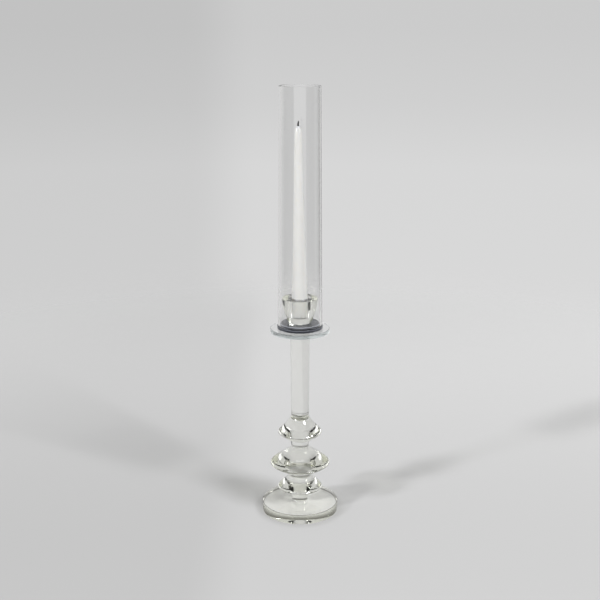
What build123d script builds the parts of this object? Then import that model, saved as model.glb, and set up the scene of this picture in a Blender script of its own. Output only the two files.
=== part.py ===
"""Glass hurricane candlestick: a bonded stack of clear glass with a loose chimney and a taper candle.

Millimetres, +Z up. The origin is the centre of the foot's underside, on the surface it stands on.
Every glass piece is turned about the Z axis, so each one is an outline in radius and height, revolved.
"""

import math
import os

from build123d import *

# Driving dimensions.
BASE_RADIUS = 52.7
BASE_THICKNESS = 13.5
BOND = 0.1  # thickness of each adhesive film
POLISHED_EDGE = 0.3  # small flat ground on every sharp glass edge

LOWER_BEAD_RADIUS = 30.8
LARGE_BEAD_RADIUS = 41.3
UPPER_BEAD_RADIUS = 30.2
LOWER_BEAD_HEIGHT = 38.3
LARGE_BEAD_HEIGHT = 42.9
UPPER_BEAD_HEIGHT = 46.4
LOWER_FOOT_RADIUS = 10.8  # the beads meet their neighbours at these radii
LARGE_FOOT_RADIUS = 15.3
UPPER_FOOT_RADIUS = 11.9

STEM_LENGTH = 120.6
STEM_FOOT_RADIUS = 12.5
STEM_TOP_RADIUS = 13.4

PLATE_RADIUS = 40.2
PLATE_THICKNESS = 5.5

SEAT_HEIGHT = 7.2
SEAT_BEVEL = 1.0
LEDGE_RADIUS = 31.0  # the chimney stands on this ledge of the seat
LEDGE_HEIGHT = 3.2
CHIMNEY_FOOT_RADIUS = 30.2
CHIMNEY_TOP_RADIUS = 27.5
CHIMNEY_WALL = 2.6
CHIMNEY_LIP = 0.35 * CHIMNEY_WALL  # radius of its fire-polished ends
CHIMNEY_HEIGHT = 319.0
SEAT_CLEARANCE = 0.5  # all round, between the seat's plug and the chimney's bore

CUP_HEIGHT = 34.4
CUP_FOOT_RADIUS = 14.6
CUP_RIM_RADIUS = 24.2
CUP_BOND_RADIUS = 10.0
SOCKET_RADIUS = 11.0
SOCKET_DEPTH = 25.0

CANDLE_RADIUS = 10.5
CANDLE_TIP_RADIUS = 5.0
CANDLE_BUTT = 36.0  # length of the straight foot of the candle
CANDLE_LENGTH = 254.0
CANDLE_LEAN = 0.6  # degrees, towards -X
CANDLE_EDGE = 1.0  # bevel round the candle's foot
CANDLE_CLEARANCE = 0.2  # lowest point of the candle above the socket's floor
WICK_RADIUS = 1.3
WICK_HEIGHT = 6.5  # above the candle's tip, and as deep again inside it

# Heights of the joints in the stack, from the surface up.
LOWER_BEAD_Z = BASE_THICKNESS + BOND
LARGE_BEAD_Z = LOWER_BEAD_Z + LOWER_BEAD_HEIGHT + BOND
UPPER_BEAD_Z = LARGE_BEAD_Z + LARGE_BEAD_HEIGHT + BOND
STEM_Z = UPPER_BEAD_Z + UPPER_BEAD_HEIGHT + BOND
PLATE_Z = STEM_Z + STEM_LENGTH + BOND
PLATE_TOP_Z = PLATE_Z + PLATE_THICKNESS
SEAT_Z = PLATE_TOP_Z + BOND
LEDGE_Z = SEAT_Z + LEDGE_HEIGHT
SEAT_TOP_Z = SEAT_Z + SEAT_HEIGHT
CUP_Z = SEAT_TOP_Z + BOND
PLUG_RADIUS = CHIMNEY_FOOT_RADIUS - CHIMNEY_WALL - SEAT_CLEARANCE

os.makedirs("parts", exist_ok=True)


def at(radius, height):
    """A point of an outline, in the X-Z plane."""
    return (radius, 0, height)


def turned(edges):
    """Closes a list of outline edges and turns the face about the Z axis."""
    outline = Wire(edges)
    face = Face(outline)
    return revolve(face, Axis.Z, 360)


def turned_points(points):
    """A turned solid whose outline is straight from point to point, closed back to the first."""
    return turned(Polyline(*[at(r, z) for r, z in points], close=True).edges())


def disc(radius, bottom, thickness, edge):
    """A round glass disc with a small flat ground on both edges."""
    top = bottom + thickness
    return turned_points(
        [
            (0, bottom),
            (radius - edge, bottom),
            (radius, bottom + edge),
            (radius, top - edge),
            (radius - edge, top),
            (0, top),
        ]
    )


def bead(bottom, height, radius, foot_radius, crown_radius, edge_share, neck_share, sweep):
    """A saucer-shaped bead: a short neck, a dished underside, a crisp edge, and a bell that rises to the crown.

    edge_share and neck_share say how far up the bead its edge and the top of its neck are.
    sweep says how far up the bell, from the edge, its side turns upright.
    """
    top = bottom + height
    edge_z = bottom + edge_share * height
    neck_z = bottom + neck_share * height
    neck_radius = foot_radius + 0.04 * height
    crown_z = top - 0.03 * height
    dish_height = edge_z - neck_z
    bell_height = crown_z - edge_z
    dish = Bezier(
        at(neck_radius, neck_z),
        at(neck_radius + 0.4 * (radius - neck_radius), neck_z + 0.27 * dish_height),
        at(radius, edge_z - 0.2 * dish_height),
        at(radius, edge_z),
    )
    bell = Bezier(
        at(radius, edge_z),
        at(radius, edge_z + 0.1 * bell_height),
        at(crown_radius + 0.12 * (radius - crown_radius), edge_z + sweep * bell_height),
        at(crown_radius, crown_z),
    )
    foot = Polyline(
        at(0, bottom),
        at(foot_radius - POLISHED_EDGE, bottom),
        at(foot_radius, bottom + POLISHED_EDGE),
        at(neck_radius, neck_z),
    )
    crown = Polyline(
        at(crown_radius, crown_z),
        at(crown_radius, top - POLISHED_EDGE),
        at(crown_radius - POLISHED_EDGE, top),
        at(0, top),
    )
    axis = Line(at(0, top), at(0, bottom))
    return turned(foot.edges() + dish.edges() + bell.edges() + crown.edges() + axis.edges())


def film(radius, bottom):
    """An adhesive film, up to the ground flat of the smaller face that it joins."""
    return Pos(0, 0, bottom + BOND / 2) * Cylinder(radius - POLISHED_EDGE, BOND)


def stem_rod():
    """Solid glass rod, drawn a little thicker at its top."""
    top = STEM_Z + STEM_LENGTH
    return turned_points(
        [
            (0, STEM_Z),
            (STEM_FOOT_RADIUS - POLISHED_EDGE, STEM_Z),
            (STEM_FOOT_RADIUS, STEM_Z + POLISHED_EDGE),
            (STEM_TOP_RADIUS, top - POLISHED_EDGE),
            (STEM_TOP_RADIUS - POLISHED_EDGE, top),
            (0, top),
        ]
    )


def chimney_seat():
    """Dark glass disc in two steps: a ledge that carries the chimney, and a plug that centres its bore."""
    return turned_points(
        [
            (0, SEAT_Z),
            (LEDGE_RADIUS - POLISHED_EDGE, SEAT_Z),
            (LEDGE_RADIUS, SEAT_Z + POLISHED_EDGE),
            (LEDGE_RADIUS, LEDGE_Z - POLISHED_EDGE),
            (LEDGE_RADIUS - POLISHED_EDGE, LEDGE_Z),
            (PLUG_RADIUS, LEDGE_Z),
            (PLUG_RADIUS, SEAT_TOP_Z - SEAT_BEVEL),
            (PLUG_RADIUS - SEAT_BEVEL, SEAT_TOP_Z),
            (0, SEAT_TOP_Z),
        ]
    )


def candle_cup():
    """Thick glass cup: its side curves from a narrow foot to a nearly upright rim, round a drilled socket."""
    rim_z = CUP_Z + CUP_HEIGHT
    floor_z = rim_z - SOCKET_DEPTH
    side = Bezier(
        at(CUP_FOOT_RADIUS, CUP_Z + POLISHED_EDGE),
        at(CUP_FOOT_RADIUS + 0.42 * (CUP_RIM_RADIUS - CUP_FOOT_RADIUS), CUP_Z + 0.27 * CUP_HEIGHT),
        at(CUP_RIM_RADIUS, CUP_Z + 0.52 * CUP_HEIGHT),
        at(CUP_RIM_RADIUS, rim_z - POLISHED_EDGE),
    )
    rim_and_socket = Polyline(
        at(CUP_RIM_RADIUS, rim_z - POLISHED_EDGE),
        at(CUP_RIM_RADIUS - POLISHED_EDGE, rim_z),
        at(SOCKET_RADIUS + POLISHED_EDGE, rim_z),
        at(SOCKET_RADIUS, rim_z - POLISHED_EDGE),
        at(SOCKET_RADIUS, floor_z),
        at(0, floor_z),
        at(0, CUP_Z),
        at(CUP_FOOT_RADIUS - POLISHED_EDGE, CUP_Z),
        at(CUP_FOOT_RADIUS, CUP_Z + POLISHED_EDGE),
    )
    return turned(side.edges() + rim_and_socket.edges())


def chimney():
    """Open glass tube with fire-polished ends, narrowing slightly from its foot to its top."""
    top = LEDGE_Z + CHIMNEY_HEIGHT
    tube = turned_points(
        [
            (CHIMNEY_FOOT_RADIUS - CHIMNEY_WALL, LEDGE_Z),
            (CHIMNEY_FOOT_RADIUS, LEDGE_Z),
            (CHIMNEY_TOP_RADIUS, top),
            (CHIMNEY_TOP_RADIUS - CHIMNEY_WALL, top),
        ]
    )
    ends = tube.edges().filter_by(GeomType.CIRCLE)
    return fillet(ends, CHIMNEY_LIP)


def leaning(shape):
    """Leans a candle piece about the centre of the socket's floor, as the candle stands."""
    floor_z = CUP_Z + CUP_HEIGHT - SOCKET_DEPTH
    drop = CANDLE_RADIUS / 2 * math.radians(CANDLE_LEAN)
    turn = Pos(0, 0, floor_z + CANDLE_CLEARANCE + drop) * Rot(0, -CANDLE_LEAN, 0)
    return turn * shape


def candle():
    """Taper candle: a straight butt, a slightly hollow taper and a round tip, with a hole for the wick."""
    shoulder = CANDLE_LENGTH - 2.2 * CANDLE_TIP_RADIUS
    taper = shoulder - CANDLE_BUTT
    narrowing = CANDLE_RADIUS - CANDLE_TIP_RADIUS
    side = Bezier(
        at(CANDLE_RADIUS, CANDLE_BUTT),
        at(CANDLE_RADIUS - 0.42 * narrowing, CANDLE_BUTT + 0.27 * taper),
        at(CANDLE_TIP_RADIUS + 0.26 * narrowing, CANDLE_BUTT + 0.62 * taper),
        at(CANDLE_TIP_RADIUS, shoulder),
    )
    tip = Bezier(
        at(CANDLE_TIP_RADIUS, shoulder),
        at(0.85 * CANDLE_TIP_RADIUS, CANDLE_LENGTH - 0.5 * CANDLE_TIP_RADIUS),
        at(0.55 * CANDLE_TIP_RADIUS, CANDLE_LENGTH),
        at(WICK_RADIUS, CANDLE_LENGTH),
    )
    foot = Polyline(
        at(WICK_RADIUS, CANDLE_LENGTH),
        at(WICK_RADIUS, CANDLE_LENGTH - WICK_HEIGHT),
        at(0, CANDLE_LENGTH - WICK_HEIGHT),
        at(0, 0),
        at(CANDLE_RADIUS - CANDLE_EDGE, 0),
        at(CANDLE_RADIUS, CANDLE_EDGE),
        at(CANDLE_RADIUS, CANDLE_BUTT),
    )
    return leaning(turned(side.edges() + tip.edges() + foot.edges()))


def wick():
    """Short burnt wick that stands in the candle's tip."""
    length = 2 * WICK_HEIGHT
    return leaning(Pos(0, 0, CANDLE_LENGTH) * Cylinder(WICK_RADIUS, length))


pieces = {
    "base_disc": disc(BASE_RADIUS, 0, BASE_THICKNESS, POLISHED_EDGE),
    "lower_bead": bead(
        LOWER_BEAD_Z,
        LOWER_BEAD_HEIGHT,
        LOWER_BEAD_RADIUS,
        LOWER_FOOT_RADIUS,
        LARGE_FOOT_RADIUS,
        edge_share=0.55,
        neck_share=0.31,
        sweep=0.80,
    ),
    "large_bead": bead(
        LARGE_BEAD_Z,
        LARGE_BEAD_HEIGHT,
        LARGE_BEAD_RADIUS,
        LARGE_FOOT_RADIUS,
        UPPER_FOOT_RADIUS,
        edge_share=0.44,
        neck_share=0.13,
        sweep=0.90,
    ),
    "upper_bead": bead(
        UPPER_BEAD_Z,
        UPPER_BEAD_HEIGHT,
        UPPER_BEAD_RADIUS,
        UPPER_FOOT_RADIUS,
        STEM_FOOT_RADIUS,
        edge_share=0.47,
        neck_share=0.20,
        sweep=0.65,
    ),
    "stem_rod": stem_rod(),
    "drip_plate": disc(PLATE_RADIUS, PLATE_Z, PLATE_THICKNESS, POLISHED_EDGE),
    "chimney_seat": chimney_seat(),
    "candle_cup": candle_cup(),
    "chimney": chimney(),
    "candle": candle(),
    "wick": wick(),
    "bond_base_to_bead": film(LOWER_FOOT_RADIUS, BASE_THICKNESS),
    "bond_lower_to_large_bead": film(LARGE_FOOT_RADIUS, LARGE_BEAD_Z - BOND),
    "bond_large_to_upper_bead": film(UPPER_FOOT_RADIUS, UPPER_BEAD_Z - BOND),
    "bond_bead_to_stem": film(STEM_FOOT_RADIUS, STEM_Z - BOND),
    "bond_stem_to_plate": film(STEM_TOP_RADIUS, PLATE_Z - BOND),
    "bond_plate_to_seat": film(LEDGE_RADIUS, PLATE_TOP_Z),
    "bond_seat_to_cup": film(CUP_BOND_RADIUS, SEAT_TOP_Z),
}

for name, shape in pieces.items():
    export_step(shape, f"parts/{name}.step")
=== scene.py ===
"""Looks of a glass hurricane candlestick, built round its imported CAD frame."""

import math

import bpy
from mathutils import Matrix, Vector

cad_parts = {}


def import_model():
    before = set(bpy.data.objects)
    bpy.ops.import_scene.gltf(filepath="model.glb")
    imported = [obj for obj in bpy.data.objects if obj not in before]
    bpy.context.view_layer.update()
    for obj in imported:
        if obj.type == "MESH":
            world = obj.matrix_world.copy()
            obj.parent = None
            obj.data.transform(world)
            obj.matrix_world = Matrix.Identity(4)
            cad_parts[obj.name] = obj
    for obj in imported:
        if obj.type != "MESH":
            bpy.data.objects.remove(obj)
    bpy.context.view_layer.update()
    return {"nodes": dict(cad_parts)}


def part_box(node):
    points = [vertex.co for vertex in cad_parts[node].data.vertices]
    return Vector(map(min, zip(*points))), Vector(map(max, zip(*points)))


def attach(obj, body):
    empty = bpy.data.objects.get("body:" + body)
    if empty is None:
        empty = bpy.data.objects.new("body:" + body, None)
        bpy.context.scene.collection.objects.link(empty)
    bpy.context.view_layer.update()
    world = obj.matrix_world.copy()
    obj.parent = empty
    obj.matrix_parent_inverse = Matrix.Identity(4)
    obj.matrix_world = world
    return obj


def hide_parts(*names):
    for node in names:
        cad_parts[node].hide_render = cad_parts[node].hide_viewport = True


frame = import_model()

MM = 0.001
GLASS_IOR = 1.5
FILM_REACH = 0.09 * MM  # from the middle of an adhesive film, this takes in the two glass faces that it joins
FILM_EDGE = 0.02 * MM

# Tiny bubbles in the films, tinted dark as painted shade: their spacing, their share of it, and the ring that
# they lie in.
BUBBLE_SPACING = 1.9 * MM
BUBBLE_SHARE = 0.2
BUBBLE_RING = 10.4 * MM
BUBBLE_RING_WIDTH = 1.0 * MM


# ---------------------------------------------------------------- node helpers

def new_material(name):
    material = bpy.data.materials.new(name)
    material.use_nodes = True
    material.node_tree.nodes.clear()
    return material, material.node_tree


def plug(tree, socket, value):
    """Links a socket, or sets a plain value, on an input."""
    if isinstance(value, bpy.types.NodeSocket):
        tree.links.new(value, socket)
    else:
        socket.default_value = value


def add(tree, kind, *values, **settings):
    """A node: values fill its inputs in order, settings name an input or a property."""
    node = tree.nodes.new(kind)
    for key, value in settings.items():
        name = key.replace("_", " ")
        if name in node.inputs:
            plug(tree, node.inputs[name], value)
        else:
            setattr(node, key, value)
    for socket, value in zip(node.inputs, values):
        plug(tree, socket, value)
    return node


def calc(tree, operation, *values):
    return add(tree, "ShaderNodeMath", *values, operation=operation).outputs[0]


def product(tree, *values):
    total = values[0]
    for value in values[1:]:
        total = calc(tree, "MULTIPLY", total, value)
    return total


def fade(tree, value, start, end):
    """0 up to start, rising smoothly to 1 at end."""
    node = add(tree, "ShaderNodeMapRange", value, start, end, interpolation_type="SMOOTHSTEP")
    return node.outputs[0]


def blend(tree, share, first, second):
    """A colour between two, by share."""
    return add(tree, "ShaderNodeMixRGB", share, first, second).outputs[0]


def tinted(tree, colour, tint):
    return add(tree, "ShaderNodeMixRGB", 1.0, colour, tint, blend_type="MULTIPLY").outputs[0]


def mix(tree, share, first, second):
    """A shader between two, by share."""
    return add(tree, "ShaderNodeMixShader", share, first, second).outputs[0]


def grey(value):
    return (value, value, value, 1)


def position(tree):
    """The x, y, z sockets of the shaded point, in metres, and its distance from the Z axis."""
    point = add(tree, "ShaderNodeNewGeometry").outputs["Position"]
    x, y, z = add(tree, "ShaderNodeSeparateXYZ", point).outputs
    square = calc(tree, "ADD", calc(tree, "MULTIPLY", x, x), calc(tree, "MULTIPLY", y, y))
    return x, y, z, calc(tree, "SQRT", square)


def finish_material(tree, surface, volume=None):
    out = add(tree, "ShaderNodeOutputMaterial")
    tree.links.new(surface, out.inputs["Surface"])
    if volume:
        tree.links.new(volume, out.inputs["Volume"])


def dress(node, material):
    mesh = frame["nodes"][node].data
    mesh.materials.clear()
    mesh.materials.append(material)


# ---------------------------------------------------------------- glass

def bond_mask(tree, bonds):
    """1 on the faces that an adhesive film joins, where light passes straight from glass to glass."""
    x, y, z, radius = position(tree)
    total = 0.0
    for bond in bonds:
        low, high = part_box(bond)
        middle = (low.z + high.z) / 2
        near = calc(tree, "COMPARE", z, middle, FILM_REACH)
        inside = calc(tree, "LESS_THAN", radius, high.x + FILM_EDGE)
        total = calc(tree, "MAXIMUM", total, calc(tree, "MULTIPLY", near, inside))
    return total


def shade_of_glass(tree, side):
    """What a shadow ray keeps: nearly all through a level face, the share side through an upright one."""
    normal = add(tree, "ShaderNodeNewGeometry").outputs["True Normal"]
    upright = add(tree, "ShaderNodeSeparateXYZ", normal).outputs[2]
    level = calc(tree, "POWER", calc(tree, "ABSOLUTE", upright), 1.5)
    tone = blend(tree, level, grey(side), (0.98, 0.98, 0.97, 1))
    return add(tree, "ShaderNodeBsdfTransparent", tone).outputs[0]


def ripple(tree, across, along, strength):
    """A very shallow surface wave, across and along in millimetres, left by drawing or polishing."""
    point = add(tree, "ShaderNodeNewGeometry").outputs["Position"]
    scale = (1 / (across * MM), 1 / (across * MM), 1 / (along * MM))
    stretched = add(tree, "ShaderNodeVectorMath", point, scale, operation="MULTIPLY").outputs[0]
    noise = add(tree, "ShaderNodeTexNoise", Vector=stretched, Scale=1.0, Detail=2.0)
    bump = add(tree, "ShaderNodeBump", Strength=strength, Distance=0.1 * MM, Height=noise.outputs[0])
    return bump.outputs[0]


def glass_material(name, bonds, tint, depth, side, wave):
    """Clear glass, see-through at its bonds. The values are explained at GLASS."""
    material, tree = new_material(name)
    glass = add(tree, "ShaderNodeBsdfGlass", IOR=GLASS_IOR, Roughness=0.0, Normal=ripple(tree, *wave))
    ray = add(tree, "ShaderNodeLightPath").outputs
    soft = calc(tree, "MAXIMUM", ray["Is Shadow Ray"], ray["Is Diffuse Ray"])
    surface = mix(tree, soft, glass.outputs[0], shade_of_glass(tree, side))
    clear = add(tree, "ShaderNodeBsdfTransparent", (1, 1, 1, 1))
    surface = mix(tree, bond_mask(tree, bonds), surface, clear.outputs[0])
    absorb = add(tree, "ShaderNodeVolumeAbsorption", Color=(*tint, 1), Density=1 / (depth * MM))
    finish_material(tree, surface, absorb.outputs[0])
    return material


def film_material():
    """Clear adhesive, with a sparse ring of tiny bubbles trapped near the rim of each joint, tinted dark as
    painted shade.
    """
    material, tree = new_material("adhesive_film")
    x, y, z, radius = position(tree)
    cells = add(tree, "ShaderNodeTexVoronoi", Scale=1 / BUBBLE_SPACING)
    tree.links.new(add(tree, "ShaderNodeNewGeometry").outputs["Position"], cells.inputs["Vector"])
    dot = calc(tree, "LESS_THAN", cells.outputs["Distance"], BUBBLE_SHARE)
    rim = calc(tree, "COMPARE", radius, BUBBLE_RING, BUBBLE_RING_WIDTH)
    bubble = calc(tree, "MULTIPLY", dot, rim)
    clear = add(tree, "ShaderNodeBsdfTransparent", (1, 1, 1, 1)).outputs[0]
    # Painted shade: the bubbles' dark tint stands in for the dark ring at a bonded joint.
    bubble_painted_shade = add(tree, "ShaderNodeBsdfTransparent", (0.3, 0.3, 0.26, 1)).outputs[0]
    finish_material(tree, mix(tree, bubble, clear, bubble_painted_shade))
    return material


CRYSTAL = (0.94, 0.945, 0.885)
BONDS = {
    "base_disc": ["bond_base_to_bead"],
    "lower_bead": ["bond_base_to_bead", "bond_lower_to_large_bead"],
    "large_bead": ["bond_lower_to_large_bead", "bond_large_to_upper_bead"],
    "upper_bead": ["bond_large_to_upper_bead", "bond_bead_to_stem"],
    "stem_rod": ["bond_bead_to_stem", "bond_stem_to_plate"],
    "drip_plate": ["bond_stem_to_plate"],
    "candle_cup": ["bond_seat_to_cup"],
    "chimney": [],
}
# tint is what is left of white light after depth millimetres, side is the light kept in the shadow of an
# upright face, and wave is the surface wave, across and along in millimetres, with its strength.
BEAD_WAVE = (9, 9, 0.05)
GLASS = {
    "base_disc": dict(tint=CRYSTAL, depth=60, side=0.8, wave=(14, 14, 0.04)),
    "lower_bead": dict(tint=CRYSTAL, depth=60, side=0.1, wave=BEAD_WAVE),
    "large_bead": dict(tint=CRYSTAL, depth=60, side=0.1, wave=BEAD_WAVE),
    "upper_bead": dict(tint=CRYSTAL, depth=60, side=0.2, wave=BEAD_WAVE),
    "stem_rod": dict(tint=CRYSTAL, depth=60, side=0.92, wave=(8, 60, 0.05)),
    "drip_plate": dict(tint=(0.90, 0.955, 0.955), depth=60, side=0.5, wave=(14, 14, 0.03)),
    "candle_cup": dict(tint=(0.94, 0.95, 0.87), depth=60, side=0.9, wave=BEAD_WAVE),
    "chimney": dict(tint=(0.90, 0.90, 0.885), depth=30, side=0.97, wave=(7, 90, 0.04)),
}


def seat_material():
    """Near-black blue glass, its bevels painted lighter as a highlight from above. It doesn't shine where the
    cup is bonded to it.
    """
    material, tree = new_material("seat_glass")
    point = add(tree, "ShaderNodeNewGeometry").outputs["Position"]
    smoke = add(tree, "ShaderNodeTexNoise", Vector=point, Scale=1 / (12 * MM), Detail=3.0)
    colour = blend(tree, smoke.outputs[0], (0.009, 0.010, 0.015, 1), (0.016, 0.018, 0.026, 1))
    normal = add(tree, "ShaderNodeNewGeometry").outputs["True Normal"]
    upright = add(tree, "ShaderNodeSeparateXYZ", normal).outputs[2]
    # Painted highlight: faces that tilt part way up are lighter grey, as if catching the light from above.
    painted_bevel_highlight = product(tree, fade(tree, upright, 0.3, 0.5), fade(tree, upright, 0.95, 0.85))
    colour = blend(tree, painted_bevel_highlight, colour, (0.26, 0.27, 0.30, 1))
    shine = calc(tree, "SUBTRACT", 1.0, bond_mask(tree, ["bond_seat_to_cup"]))
    wave = ripple(tree, *BEAD_WAVE)
    bsdf = add(tree, "ShaderNodeBsdfPrincipled", Base_Color=colour, Roughness=0.04, Normal=wave)
    bsdf.inputs["Specular Tint"].default_value = (0.82, 0.88, 1.0, 1)
    tree.links.new(shine, bsdf.inputs["Specular IOR Level"])
    finish_material(tree, bsdf.outputs[0])
    return material


# ---------------------------------------------------------------- candle

def wax_material():
    """Poured white wax: light spreads under the skin, with cloudy mottling and a faint uneven surface."""
    material, tree = new_material("candle_wax")
    point = add(tree, "ShaderNodeTexCoord").outputs["Object"]
    clouds = add(tree, "ShaderNodeTexNoise", Vector=point, Scale=1 / (18 * MM), Detail=4.0)
    skin = add(tree, "ShaderNodeTexNoise", Vector=point, Scale=1 / (2.5 * MM), Detail=3.0)
    bump = add(tree, "ShaderNodeBump", Strength=0.12, Distance=0.3 * MM, Height=skin.outputs[0])
    colour = blend(tree, clouds.outputs[0], (0.64, 0.64, 0.63, 1), (0.69, 0.69, 0.68, 1))
    bsdf = add(tree, "ShaderNodeBsdfPrincipled", Base_Color=colour, Roughness=0.42, Normal=bump.outputs[0])
    bsdf.inputs["Subsurface Weight"].default_value = 1.0
    bsdf.inputs["Subsurface Radius"].default_value = (1.0, 0.95, 0.85)
    bsdf.inputs["Subsurface Scale"].default_value = 14 * MM
    finish_material(tree, bsdf.outputs[0])
    return material


def wick_material():
    """Burnt cotton: black char with a thread grain."""
    material, tree = new_material("wick_cotton")
    point = add(tree, "ShaderNodeTexCoord").outputs["Object"]
    thread = add(tree, "ShaderNodeTexWave", Vector=point, Scale=1 / (6 * MM), Distortion=3.0, Detail=2.0)
    bump = add(tree, "ShaderNodeBump", Strength=0.8, Distance=0.2 * MM, Height=thread.outputs[1])
    colour = blend(tree, thread.outputs[1], (0.002, 0.002, 0.002, 1), (0.012, 0.011, 0.01, 1))
    bsdf = add(tree, "ShaderNodeBsdfPrincipled", Base_Color=colour, Roughness=0.9, Normal=bump.outputs[0])
    bsdf.inputs["Specular IOR Level"].default_value = 0.0
    finish_material(tree, bsdf.outputs[0])
    return material


WICK_STRANDS = 3
WICK_TWIST = 9  # radians over its length
WICK_RINGS = 24
WICK_SIDES = 18


def burnt_wick():
    """Takes the wick's place: a charred twist of thread that leans to a blunt point."""
    low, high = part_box("wick")
    full = (high.y - low.y) / 2
    length = high.z - low.z
    foot = Vector(((low.x + high.x) / 2, 0, low.z))
    rings, sides = WICK_RINGS, WICK_SIDES
    vertices, faces = [], []
    for ring in range(rings + 1):
        along = ring / rings
        thick = full * (1 - 0.7 * along ** 6)
        lean = Vector((0.6 * full * along ** 3, 0, along * length))
        for side in range(sides):
            angle = 2 * math.pi * side / sides
            groove = math.cos(WICK_STRANDS / 2 * angle - WICK_TWIST * along) ** 2
            spoke = Vector((math.cos(angle), math.sin(angle), 0)) * thick * (1 - 0.15 * groove)
            vertices.append(foot + lean + spoke)
    for ring in range(rings):
        for side in range(sides):
            after = (side + 1) % sides
            a, b = ring * sides + side, ring * sides + after
            faces.append((a, b, b + sides, a + sides))
    faces.append(tuple(reversed(range(sides))))
    faces.append(tuple(range(rings * sides, (rings + 1) * sides)))
    mesh = bpy.data.meshes.new("burnt_wick")
    mesh.from_pydata(vertices, [], faces)
    mesh.shade_smooth()
    mesh.materials.append(wick_material())
    piece = bpy.data.objects.new("burnt_wick", mesh)
    bpy.context.scene.collection.objects.link(piece)
    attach(piece, "candle_body")
    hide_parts("wick")


for node, look in GLASS.items():
    dress(node, glass_material(node + "_glass", BONDS[node], **look))
film = film_material()
for node in frame["nodes"]:
    if node.startswith("bond_"):
        dress(node, film)
dress("chimney_seat", seat_material())
dress("candle", wax_material())
dress("wick", wick_material())
burnt_wick()


# ---------------------------------------------------------------- studio

PITCH = math.radians(15)  # how far down the camera looks
CAMERA_DISTANCE = 1.330  # level, from the stem
CAMERA_AIM = 0.306  # height that it looks at
LAMP_DISTANCE = 6.0
LAMP_AIM = 0.15
FLOOR_FADE = (0.7, 1.6)  # the paper floor thins out between these distances from the stem, in metres
# The sine of the angle below level, and the brightness there.
BACKDROP = [(0.0, 0.60), (0.07, 0.63), (0.13, 0.68), (0.25, 0.69)]
PAPER = 0.66

# Each pair is where a light begins and is full, as a share of the sky's unit direction.
COVE_SIDE, COVE_TOP = (-0.1, 0.1), (0.60, 0.53)
PANEL_SIDE, PANEL_FOOT, PANEL_TOP, PANEL_LIGHT = (0.88, 0.92), (0.06, 0.10), (0.42, 0.36), 1.8
BANK, BANK_LIGHT = (0.97, 0.98), 2.5
DARK = 0.02
FLOOR_SIDES = (0.62, 0.52)  # the far floor is dark to the left and right of these
FLOOR_BACK = (0.42, 0.54)  # and bright again behind, further round to the left than to the right
LAMP_SHARE = 0.3  # how much of the studio's glow reaches matt surfaces, which the lamps light


def side_light(tree, x, start, end):
    """The studio is a little darker on the left."""
    return blend(tree, fade(tree, x, start, end), grey(0.90), grey(1.0))


def floor():
    """A pale paper floor that thins out into the backdrop, with painted shade towards the front, a painted
    contact shadow close to the foot and painted light under it.
    """
    bpy.ops.mesh.primitive_circle_add(vertices=96, radius=FLOOR_FADE[1], fill_type="TRIFAN")
    disc = bpy.context.object
    disc.name = "floor"
    disc.location.z = -0.3 * MM
    material, tree = new_material("floor_paper")
    x, y, z, radius = position(tree)
    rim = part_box("base_disc")[1].x
    fibre = add(tree, "ShaderNodeTexNoise", Scale=1 / (3 * MM), Detail=4.0).outputs[0]
    sheet = blend(tree, fibre, grey(0.72), grey(0.74))
    # Painted shade: the paper is darker towards the front.
    sheet = blend(tree, fade(tree, y, 0.9, -0.3), sheet, grey(0.54))
    sheet = tinted(tree, sheet, side_light(tree, x, -0.15, -0.06))
    # Painted light: the paper under the foot is lighter, standing in for light that the glass gathers onto
    # it.
    inside = fade(tree, radius, rim, rim - 3 * MM)
    colour = blend(tree, inside, sheet, grey(0.76))
    # Painted contact shadow: a dark ring on the paper from just inside the rim of the foot to 15 mm outside
    # it, much stronger where it is seen through glass.
    painted_contact_shadow = product(tree, fade(tree, radius, rim - 3 * MM, rim), fade(tree, radius, rim + 15 * MM, rim))
    through_glass = add(tree, "ShaderNodeLightPath").outputs["Transmission Depth"]
    strength = blend(tree, calc(tree, "GREATER_THAN", through_glass, 0.5), grey(0.15), grey(0.8))
    colour = blend(tree, calc(tree, "MULTIPLY", painted_contact_shadow, strength), colour, (0.10, 0.095, 0.08, 1))
    paper = add(tree, "ShaderNodeBsdfDiffuse", Color=colour).outputs[0]
    open_air = add(tree, "ShaderNodeBsdfTransparent", (1, 1, 1, 1)).outputs[0]
    finish_material(tree, mix(tree, fade(tree, radius, *FLOOR_FADE), paper, open_air))
    disc.data.materials.append(material)


def backdrop(tree, x, z):
    """What the camera sees past the object: paler towards the floor, and towards the right."""
    ramp = add(tree, "ShaderNodeValToRGB", calc(tree, "MULTIPLY", z, -1.0))
    elements = ramp.color_ramp.elements
    while len(elements) < len(BACKDROP):
        elements.new(0.5)
    for element, (place, value) in zip(elements, BACKDROP):
        element.position = place
        element.color = grey(value)
    shade = side_light(tree, x, -0.11, -0.04)
    return tinted(tree, ramp.outputs[0], shade)


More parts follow.
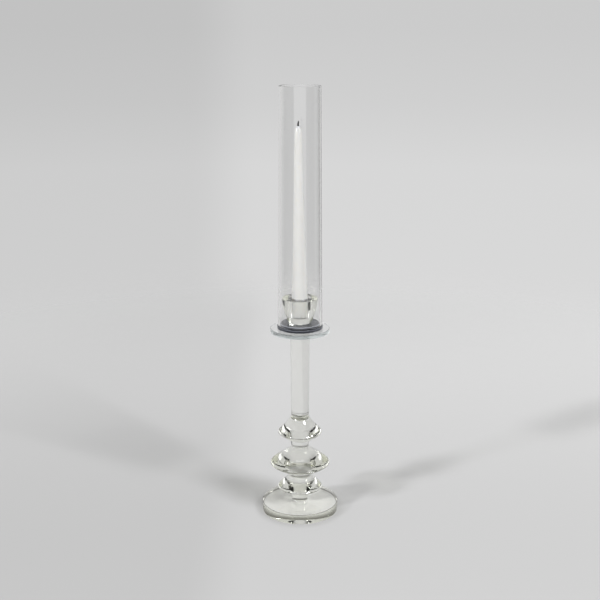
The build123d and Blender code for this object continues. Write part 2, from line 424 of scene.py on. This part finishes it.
def world():
    """The studio that glass and floor see: a lit cove behind, a low panel at each side, a bank overhead.

    It is set up round the camera: x is a direction's share to the camera's right, y its share away from it.
    """
    studio = bpy.data.worlds.new("studio")
    bpy.context.scene.world = studio
    studio.use_nodes = True
    tree = studio.node_tree
    tree.nodes.clear()
    place = add(tree, "ShaderNodeTexCoord").outputs
    z = add(tree, "ShaderNodeSeparateXYZ", place["Generated"]).outputs[2]
    x, above, ahead = add(tree, "ShaderNodeSeparateXYZ", place["Camera"]).outputs
    dip = calc(tree, "MULTIPLY", z, math.sin(PITCH))
    y = calc(tree, "DIVIDE", calc(tree, "ADD", ahead, dip), math.cos(PITCH))
    sideways = calc(tree, "ABSOLUTE", x)
    lights = [
        product(tree, fade(tree, y, *COVE_SIDE), fade(tree, z, *COVE_TOP), PAPER),
        product(
            tree,
            fade(tree, sideways, *PANEL_SIDE),
            fade(tree, z, *PANEL_FOOT),
            fade(tree, z, *PANEL_TOP),
            PANEL_LIGHT,
        ),
        product(tree, fade(tree, z, *BANK), BANK_LIGHT),
    ]
    sky = DARK
    for light in lights:
        sky = calc(tree, "MAXIMUM", light, sky)
    strip = fade(tree, sideways, *FLOOR_SIDES)
    behind = fade(tree, calc(tree, "SUBTRACT", y, calc(tree, "MULTIPLY", x, 0.36)), *FLOOR_BACK)
    far_floor = product(tree, calc(tree, "MAXIMUM", strip, behind), PAPER)
    seen = blend(tree, fade(tree, z, 0.0, -0.02), sky, far_floor)
    ray = add(tree, "ShaderNodeLightPath").outputs
    seen = blend(tree, calc(tree, "MULTIPLY", ray["Is Diffuse Ray"], 1 - LAMP_SHARE), seen, grey(0))
    seen = blend(tree, ray["Is Camera Ray"], seen, backdrop(tree, x, z))
    background = add(tree, "ShaderNodeBackground", seen, 1.0)
    out = add(tree, "ShaderNodeOutputWorld")
    tree.links.new(background.outputs[0], out.inputs[0])


def softbox(name, turn, rise, size, watts):
    """A square lamp aimed at the stem. turn is in degrees from the camera, positive to its right."""
    light = bpy.data.lights.new(name, "AREA")
    light.shape = "SQUARE"
    light.size = size
    light.energy = watts
    lamp = bpy.data.objects.new(name, light)
    bpy.context.scene.collection.objects.link(lamp)
    turn, rise = math.radians(turn), math.radians(rise)
    away = Vector((math.sin(turn) * math.cos(rise), -math.cos(turn) * math.cos(rise), math.sin(rise)))
    lamp.location = away * LAMP_DISTANCE + Vector((0, 0, LAMP_AIM))
    lamp.rotation_euler = away.to_track_quat("Z", "Y").to_euler()


def camera():
    """Looks down at the candlestick."""
    aim = Vector((0, 0, CAMERA_AIM))
    data = bpy.data.cameras.new("camera")
    data.lens = 1.7 * data.sensor_width
    eye = bpy.data.objects.new("camera", data)
    bpy.context.scene.collection.objects.link(eye)
    eye.location = aim + Vector((0, -CAMERA_DISTANCE, CAMERA_DISTANCE * math.tan(PITCH)))
    eye.rotation_euler = (math.pi / 2 - PITCH, 0, 0)
    bpy.context.scene.camera = eye


floor()
world()
softbox("key", turn=-55, rise=26, size=0.7, watts=310)
softbox("fill", turn=50, rise=40, size=1.7, watts=345)
camera()

scene = bpy.context.scene
scene.view_settings.view_transform = "Standard"
scene.cycles.caustics_refractive = False
scene.cycles.caustics_reflective = False
scene.cycles.max_bounces = 32
scene.cycles.transmission_bounces = 32
scene.cycles.glossy_bounces = 16
scene.cycles.transparent_max_bounces = 64
